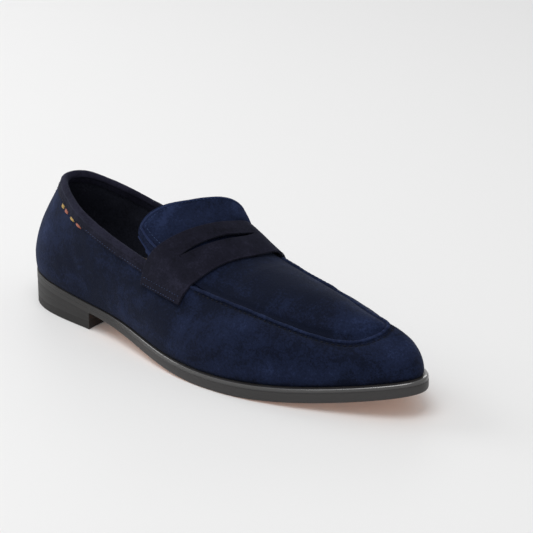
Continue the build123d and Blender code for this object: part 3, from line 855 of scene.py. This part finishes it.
def build_underlay():
    """The tongue's napped lining, whose raw edge shows past the tongue's lateral edge."""
    rows = ROWS[UNDERLAY_ROW:]
    under = arch_points(rows, eased(60), 2.0)
    left = rows[:, :3]
    climb = np.linspace(0, 1, len(rows))
    grow = limit(climb * 1.8) * limit((0.86 - climb) * 6) ** 0.7
    rng = np.random.default_rng(21)
    fringe = []
    for reach, raggedness in ((5.2, 0.75), (4.2, 0.45), (2.8, 0.25), (1.4, 0.1)):
        ragged = grow * (reach + raggedness * rng.normal(size=len(rows)))
        sag = grow * raggedness * rng.normal(size=len(rows))
        drift = np.stack([-0.80 * ragged, -0.15 * ragged - 0.2, -0.15 * ragged - 1.3 + sag], -1)
        fringe.append(left + drift)
    outer = np.concatenate([np.stack(fringe, 1), under], 1)
    # The frayed fringe is painted lighter: partly its loose fibres, partly painted light that
    # offsets the shade it sits in.
    lighter = np.zeros(outer.shape[:2])
    lighter[:, :4] = 0.35
    piece = shell("tongue_lining", outer, outer - (0, 0, 0.9), tone=lighter)
    finish_piece(piece, "suede", "tongue_underlay")


build_underlay()


# ---- collar: binding and lining ----
FOLD_STEPS = 40
FOLD_CREST = slice(14, 24)      # the steps over the top, painted paler there as a painted highlight
FOLD_SHARE = 0.985              # height on the wall where the fold leaves it


def fold_profile(ribs, out, inn, crown, inner_leg):
    """Sections over the collar's edge: up the outside, round the top and down the inside."""
    start = 1 - BINDING_DEPTH / ribs.length[:, None]
    up = between(start, FOLD_SHARE, np.linspace(0, 1, 7))
    down = FOLD_SHARE - inner_leg / ribs.length[:, None] * np.linspace(0, 1, 5)
    outside = ribs.section(up, out)
    inside = ribs.section(down, inn)
    top = (ribs.section([1.0], out) + ribs.section([1.0], inn)) / 2
    top[..., 1] += crown
    knots = np.concatenate([outside, top, inside], 1)
    curve = smooth_curve(np.moveaxis(knots, 1, 0).reshape(knots.shape[1], -1))
    fine = curve(np.linspace(0, 1, FOLD_STEPS))
    return np.moveaxis(fine.reshape(FOLD_STEPS, len(ribs.turns), 2), 0, 1)


PALE_TURN = 0.95                # the binding's stitches are pale ahead of this turn


def level(outward):
    """Horizontal directions as vectors in space."""
    return np.column_stack([outward, np.zeros(len(outward))])


def build_collar():
    """The folded binding and the stitches near its lower edge."""
    turns = np.linspace(*BINDING_TURNS, 420)
    ribs = Ribs(turns)
    skin = ribs.lift(fold_profile(ribs, -0.95, 4.1, 1.25, 5.0))
    hidden = ribs.lift(fold_profile(ribs, -0.1, 3.3, 0.45, 4.8))
    normals = unit(np.cross(np.gradient(skin, axis=0), np.gradient(skin, axis=1)))
    uneven = ripple(skin, 16, 0.12, 14) + ripple(skin, 5, 0.04, 15)
    skin = skin + normals * uneven[..., None]
    # Painted highlight: the binding is painted a little lighter all over, and more over the top of
    # the fold.
    tone = np.full(skin.shape[:2], 0.05)
    tone[:, FOLD_CREST] = 0.18
    finish_piece(shell("nubuck_binding", skin, hidden, tone=tone), "nubuck", "collar_binding")
    low = 1 - (BINDING_DEPTH - 1.1) / ribs.length
    row = ribs.sheet(low[:, None], -0.95)[:, 0]
    out = level(ribs.outward)
    lateral, medial = turns < -PALE_TURN, turns > PALE_TURN
    behind = ~lateral & ~medial
    stitches("binding_stitches", [(row[behind], out[behind])], 2.6, 1.5, 0.25, 0.12)
    rows = [(row[side], out[side]) for side in (lateral, medial)]
    stitches("binding_stitches_pale", rows, 2.4, 1.0, 0.22, 0.15, look=PALE_THREAD)


build_collar()

FACING_TURNS = (-1.38, -1.23)


def build_lining():
    """The dark lining, and the worn tan edge of the vamp lining by the lateral tab."""
    ribs = Ribs(np.linspace(-math.pi, math.pi, 361)[:-1])
    shares = np.linspace(0.0, 0.95, 26)
    grid = ribs.sheet(shares, LINING[1])
    depth = LINING[1] - 0.1 - ripple(grid, 28, 0.15, 17)
    outer = ribs.sheet(shares, LINING[0])
    piece = shell("collar_lining", ribs.sheet(shares, depth), outer, wrap=True)
    finish_piece(piece, "lining", "side_lining")
    facing = Ribs(np.linspace(*FACING_TURNS, 40))
    taper = limit((FACING_TURNS[1] - facing.turns) / 0.10)[:, None] ** 0.8
    strip = 1 + (4.0 * taper * np.linspace(1, 0, 8) - 3.0) / facing.length[:, None]
    worn = 5.2 + 0.3 * ripple(facing.sheet(strip), 6, 1.0, 19)
    front = shell("vamp_lining_edge", facing.sheet(strip, worn), facing.sheet(strip, 4.4))
    finish_piece(front, "lining_tan")


build_lining()


def build_backstay():
    """The strip over the heel's back, stitched along both sides."""
    ribs = Ribs(np.linspace(-0.09, 0.09, 13))
    shares = np.linspace(0.03, 0.86, 60)
    across = np.abs(np.linspace(-1, 1, 13))[:, None]
    swell = heel_swell(ribs.turns, shares)
    top = -0.95 + 0.55 * across**4 - swell
    piece = shell("suede_backstay", ribs.sheet(shares, top), ribs.sheet(shares, 0.3 - swell))
    finish_piece(soften(piece, 0.3), "suede", "backstay")
    rows = []
    for turn in (-0.07, 0.07):
        line = Ribs(np.array([turn, turn + 1e-3]))
        path = line.sheet(shares, -0.8 - heel_swell(line.turns, shares))[0]
        rows.append((path, np.tile(level(line.outward[:1]), (len(shares), 1))))
    stitches("backstay_stitches", rows, 2.8, 1.8, 0.24, 0.15)


build_backstay()


# ---- saddle strap ----
SLOT_SPAN = (3.5, 7.6)          # stations between which the slot is open
SLOT_SHARE = (0.43, 0.42)       # its place across the strap at those stations
SLOT_HALF = 1.55
COLUMNS_BEHIND, COLUMNS_AHEAD = 14, 16  # mesh columns behind and ahead of the slot
STRAP_LAST = len(STRAP_REAR) - 1
strap_rear, strap_front = smooth_curve(STRAP_REAR), smooth_curve(STRAP_FRONT)


def build_strap():
    """The strap: two bands that part at the slot and share an edge before and after it."""
    stations = np.linspace(0, STRAP_LAST, 300)
    a, b = strap_rear(stations / STRAP_LAST), strap_front(stations / STRAP_LAST)
    width = np.linalg.norm(b - a, axis=-1)
    phase = limit((stations - SLOT_SPAN[0]) / (SLOT_SPAN[1] - SLOT_SPAN[0]))
    centre = between(*SLOT_SHARE, phase)
    half = SLOT_HALF * np.sin(math.pi * phase**1.3) ** 0.6 / width
    inward = unit(np.cross(np.gradient((a + b) / 2, axis=0), b - a))[:, None]
    tab = limit(stations / 1.5) * limit((STRAP_LAST - stations) / 1.5)

    def half_band(low, high, columns):
        shares = between(low[:, None], high[:, None], np.linspace(0, 1, columns))
        band = between(a[:, None], b[:, None], shares[..., None])
        crown = 0.7 * tab[:, None] * (1 - (2 * shares - 1) ** 2)
        settle = ripple(band, 20, 0.14, 23) + ripple(band, 7, 0.05, 24)
        return band - (crown + settle)[..., None] * inward

    behind = half_band(np.zeros_like(width), centre - half, COLUMNS_BEHIND)
    ahead = half_band(centre + half, np.ones_like(width), COLUMNS_AHEAD)
    outer = np.concatenate([behind, ahead], 1)
    is_open = half * width > 0.02
    open_rows = set(np.flatnonzero(is_open[:-1] | is_open[1:]))
    across = np.linspace(0, 1, outer.shape[1])
    edge = np.minimum(across, 1 - across) * width[:, None]
    sheets = outer, outer + STRAP * inward
    slot = {"gap": COLUMNS_BEHIND - 1, "open_rows": open_rows}
    piece = shell("nubuck_strap", *sheets, tone=0.07 * np.exp(-edge / 1.2), sharp=50, **slot)
    finish_piece(soften(piece, 0.4), "nubuck", "saddle_strap")


build_strap()

STATION_MM = 8.0                # from one station of the strap to the next


def build_tab_stitches():
    """Two rows of stitches across the strap at each of its ends."""
    rows = []
    spots = np.linspace(0.045, 0.955, 40)[:, None]
    for side in (-1.0, 1.0):
        for distance in (1.3, 5.4):
            station = distance / STATION_MM
            share = (station if side < 0 else STRAP_LAST - station) / STRAP_LAST
            path = between(strap_rear(share), strap_front(share), spots)
            out = np.tile((0.0, side, 0.25), (len(spots), 1))
            rows.append((path + 0.08 * out, unit(out)))
    stitches("tab_stitches", rows, 2.3, 1.0, 0.22, 0.2, look=PALE_THREAD)


build_tab_stitches()


def build_seam_stitches():
    """Dark stitches on the wall just under the raised seam."""
    ribs = Ribs(folded(seam_turns(420)))
    shares = 1 - 2.1 / ribs.length
    path = ribs.sheet(shares[:, None], 0.45)[:, 0]
    out = np.column_stack([ribs.outward, np.full(len(path), 0.6)])
    keep = slice(4, -4)
    stitches("seam_stitches", [(path[keep], unit(out[keep]))], SEAM_PITCH, 2.1, 0.3, 0.2)


build_seam_stitches()


# ---- bottom: welt, outsole and heel ----
SOLE_TURNS = np.linspace(-math.pi, math.pi, 721)[:-1]
SOLE_X = outline(SOLE_TURNS)[:, 0]
FOREPART_X, FOREPART_REACH = 90.0, 70.0     # where the edge's polish and painted highlight begin, and their fade


def sole_ring(inset, heights):
    return np.column_stack([outline(SOLE_TURNS, inset), heights])


def forepart(x):
    """0 over the heel and 1 over the forepart."""
    return limit((x - FOREPART_X) / FOREPART_REACH)


# The welt's section, outward over its ledge and down: inset, drop and polish, which makes the edge
# glossier and also paints it lighter as a painted highlight.
WELT_PROFILE = (
    (11.0, WELT, 0), (11.0, 0.0, 0), (2.6, 0.0, 0.2), (1.5, 0.03, 0.9),
    (0.8, 0.14, 1), (0.35, 0.42, 1), (0.1, 0.85, 0.9), (0.0, 1.4, 0.5),
    (0.0, 2.2, 0.3), (0.08, 2.45, 0.2), (0.22, WELT, 0.2),
)


def build_welt():
    """The welt: a ring with a rounded upper corner, polished and painted lighter as a painted
    highlight over the forepart, and tight at the heel.
    """
    front = forepart(SOLE_X)
    soft = 0.3 + 0.7 * front
    loops = []
    for k, (inset, drop, _) in enumerate(WELT_PROFILE):
        scale = soft if 3 <= k <= 7 else np.ones_like(soft)
        loops.append(sole_ring(inset * scale, feather_z(SOLE_X) - drop * scale))
    loops = np.stack(loops, 1)
    rows, columns = loops.shape[:2]
    faces = grid_faces(rows, columns, wrap=True)
    for i in range(rows):
        p, q = i * columns, (i + 1) % rows * columns
        faces.append((p + columns - 1, q + columns - 1, q, p))
    # The polish column makes the forepart's edge glossier and paints it lighter: a painted
    # highlight.
    tone = front[:, None] * np.array(WELT_PROFILE)[:, 2]
    piece = make_object("welt_rand", loops.reshape(-1, 3), faces, sharp=55, tone=tone.ravel())
    finish_piece(piece, "welt", "welt")


build_welt()

HALF_RING = len(SOLE_TURNS) // 2
CAP_COLUMNS = 14


def cap_points(ring):
    """Rows of points across the sole, from the lateral to the medial half of a ring."""
    lateral, medial = ring[HALF_RING - 1 : 0 : -1, None], ring[HALF_RING + 1 :, None]
    across = np.linspace(0, 1, CAP_COLUMNS)[:, None]
    return between(lateral, medial, across).reshape(-1, 3)


def cap_faces(ring_start, start):
    """Faces between those rows, with the ring's heel and toe points at their ends."""
    rows = HALF_RING - 1
    faces = grid_faces(rows, CAP_COLUMNS, start)
    last_row = start + (rows - 1) * CAP_COLUMNS
    for tip, row in ((ring_start + HALF_RING, start), (ring_start, last_row)):
        faces += [(tip, row + j, row + j + 1) for j in range(CAP_COLUMNS - 1)]
    return faces


def build_outsole():
    """The outsole: rings from its top over the edge to its underside, closed by two caps."""
    top = feather_z(SOLE_X) - WELT
    ahead = 1 - limit((BREAST_X + 4 - SOLE_X) / 4)
    profile = [(3.0, top), (0.22, top), (0.06, top - 0.2), (0.0, top - 0.5)]
    for inset, rise in ((0.0, 1.3), (0.1, 0.75), (0.4, 0.28), (1.0, 0.04), (1.8, 0.0)):
        profile.append((inset, np.minimum(sole_z(SOLE_X) + rise * ahead, top - 0.3)))
    loops = [sole_ring(inset, heights) for inset, heights in profile]
    size, count = len(SOLE_TURNS), len(loops)
    # Tone 1 inks the edge. Over the forepart it rises towards 2 and paints the ink paler: a painted
    # highlight.
    ink_and_highlight = 1 + forepart(loops[0][:, 0])
    tones = [np.tile(ink_and_highlight, 6), np.full(size, 0.55), np.zeros(2 * size)]
    points = [*loops]
    faces = ring_faces(count, size)
    start = count * size
    for ring, flag in ((0, 1.0), (count - 1, 0.0)):
        points.append(cap_points(loops[ring]))
        tones.append(np.full(len(points[-1]), flag))
        faces += cap_faces(ring * size, start)
        start += len(points[-1])
    tone = np.concatenate(tones)
    piece = make_object("sole_body", np.concatenate(points), faces, sharp=50, tone=tone)
    finish_piece(piece, "outsole", "outsole")


build_outsole()

BREAST_HOLLOW = 3.2             # how far the heel's front curves inward
HEEL_ROUND = 0.06


def heel_plan():
    """The heel block's plan: the sole's outline behind the breast, closed by a hollow arc."""
    turn = math.acos(1 - 2 * (BREAST_X - HEEL_X) / SOLE_LENGTH)
    back = outline(np.linspace(-turn, turn, 180), 0.12)
    share = np.linspace(0, 1, 26)[1:-1, None]
    arc = between(back[-1], back[0], share)
    arc[:, :1] -= BREAST_HOLLOW * 4 * share * (1 - share)
    return np.concatenate([back, arc])


HEEL_PLAN = heel_plan()


def joint_height(layers):
    """Height of the joint with a number of layers between it and the top piece."""
    return TOP_PIECE + (sole_z(HEEL_PLAN[:, 0]) - TOP_PIECE) * layers / 2


def slab(name, low, high, slot, node, round_low=HEEL_ROUND):
    """One layer of the heel, with slightly rounded edges."""
    tangent = unit(np.roll(HEEL_PLAN, -1, 0) - np.roll(HEEL_PLAN, 1, 0))
    inward = quarter_turn(tangent)
    loops = []
    for face, radius, up in ((low, round_low, 1), (high, HEEL_ROUND, -1)):
        steps = ((radius + 1.5, 0), (radius, 0), (0.3 * radius, 0.3 * radius), (0.0, radius))
        for inset, rise in steps[::up]:
            loops.append(np.column_stack([HEEL_PLAN + inset * inward, face + up * rise]))
    finish_piece(rings(name, loops, sharp=50), slot, node)


floor_height = np.zeros(len(HEEL_PLAN))
slab("heel_tread", floor_height, joint_height(0), "top_piece", "heel_top_piece", round_low=0.5)
slab("heel_layer_1", joint_height(0), joint_height(1), "heel", "heel_lift_1")
slab("heel_layer_2", joint_height(1), joint_height(2), "heel", "heel_lift_2")


# ---- inside of the shoe ----
def build_sock():
    """The sock liner on its foam: curled up at its edges and padded under the arch."""
    turns = np.linspace(0.02, math.pi - 0.02, 150)
    a, b = outline(-turns, INSIDE + 0.1), outline(turns, INSIDE + 0.1)
    across = np.linspace(0, 1, 25)
    xy = between(a[:, None], b[:, None], across[:, None])
    x = xy[..., 0]
    foam = between(*FOAM, limit(x / 260))
    z = feather_z(x) + INSOLE + foam + SOCK
    curl = 0.9 * np.abs(2 * across - 1) ** 6
    arch_support = 1.2 * bell(x - 120, 35) * across**3
    top = np.concatenate([xy, (z + curl + arch_support)[..., None]], -1)
    bottom = np.concatenate([xy, (z - SOCK + 0.05)[..., None]], -1)
    piece = shell("footbed_cover", top, bottom)
    finish_piece(piece, "sock", "sock_liner")


build_sock()

TACK_TURNS = (-0.62, -0.70, -0.80, -0.88)
TACK_HALF_TURN = 0.031
TACK_SHARES = 0.872 - 0.0085 * np.arange(4)     # heights of a tack's stitches on the wall


def build_accents():
    """Generic bar tacks in two contrast threads below the binding, at the outer back corner."""
    terracotta = thread_look("thread_terracotta", (0.33, 0.10, 0.06))
    for i, turn in enumerate(TACK_TURNS):
        ribs = Ribs(np.linspace(turn - TACK_HALF_TURN, turn + TACK_HALF_TURN, 12))
        rows = []
        for share in TACK_SHARES[:, None]:
            swell = heel_swell(ribs.turns, share)
            rows.append((ribs.sheet(share, -0.1 - swell)[:, 0], level(ribs.outward)))
        length = path_lengths(rows[0][0])[-1]
        look = terracotta if i % 2 else None
        name = f"accent_tack_{i + 1}"
        piece = stitches(name, rows, 0.98 * length, 0.94 * length, 0.36, 0.3, "thread_mustard", look)
        if i == 0:
            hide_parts("contrast_tacks")


build_accents()

# The CAD nodes, the hidden pieces among them, take their looks too.
for subpart in frame["record"]["subparts"]:
    node = frame["nodes"][subpart["node"]]
    node.data.materials.clear()
    node.data.materials.append(LOOKS[subpart["material_slot"]])


# ---- floor, light and camera ----
FLOOR_REACH = 30.0              # in metres


def build_stage():
    mesh = bpy.data.meshes.new("floor")
    signs = ((-1, -1), (1, -1), (1, 1), (-1, 1))
    corners = [(FLOOR_REACH * x, FLOOR_REACH * y, 0) for x, y in signs]
    mesh.from_pydata(corners, [], [(0, 1, 2, 3)])
    look = Look("floor_pale", 0.6, 0.3, Emission_Color=(1, 1, 1, 1), Emission_Strength=0.08)
    look.paint((0.72, 0.72, 0.72, 1))
    mesh.materials.append(look.material)
    floor = add_object("floor", mesh)


LIGHT_TARGET = (0, 0, 0.03)


def area_light(name, position, size, power):
    lamp = bpy.data.lights.new(name, "AREA")
    lamp.shape = "RECTANGLE"
    lamp.size, lamp.size_y = size
    lamp.energy = power
    holder = add_object(name, lamp)
    holder.location = position
    aim = Vector(LIGHT_TARGET) - Vector(position)
    holder.rotation_euler = aim.to_track_quat("-Z", "Y").to_euler()


build_stage()
area_light("overhead", (0.1, -0.5, 1.7), (1.2, 1.2), 15)
area_light("key_left", (-1.6, -0.25, 0.8), (1.0, 1.0), 13)
area_light("back_window", (-3.4, 3.9, 1.9), (3.0, 1.6), 26)


def light_world(strength):
    world = bpy.data.worlds.new("studio")
    world.use_nodes = True
    background = world.node_tree.nodes["Background"].inputs
    background["Color"].default_value = (1, 1, 1, 1)
    background["Strength"].default_value = strength
    bpy.context.scene.world = world


def place_camera(place, azimuth, elevation, focal_mm):
    """The photo's camera. It looks along +Y at azimuth 0 and turns to see the toe."""
    lens = bpy.data.cameras.new("camera")
    lens.sensor_width, lens.lens = 36, focal_mm
    lens.clip_start, lens.clip_end = 0.05, 100
    camera = add_object("camera", lens)
    camera.location = place
    level_part = math.cos(elevation)
    back = (math.sin(azimuth) * level_part, -math.cos(azimuth) * level_part, math.sin(elevation))
    camera.rotation_euler = Vector(back).to_track_quat("Z", "Y").to_euler()
    bpy.context.scene.camera = camera


light_world(0.51)
place_camera((0.82771, -0.90872, 0.52555), math.radians(41.0), math.radians(21.0), 147.62)
bpy.context.scene.view_settings.view_transform = "Standard"
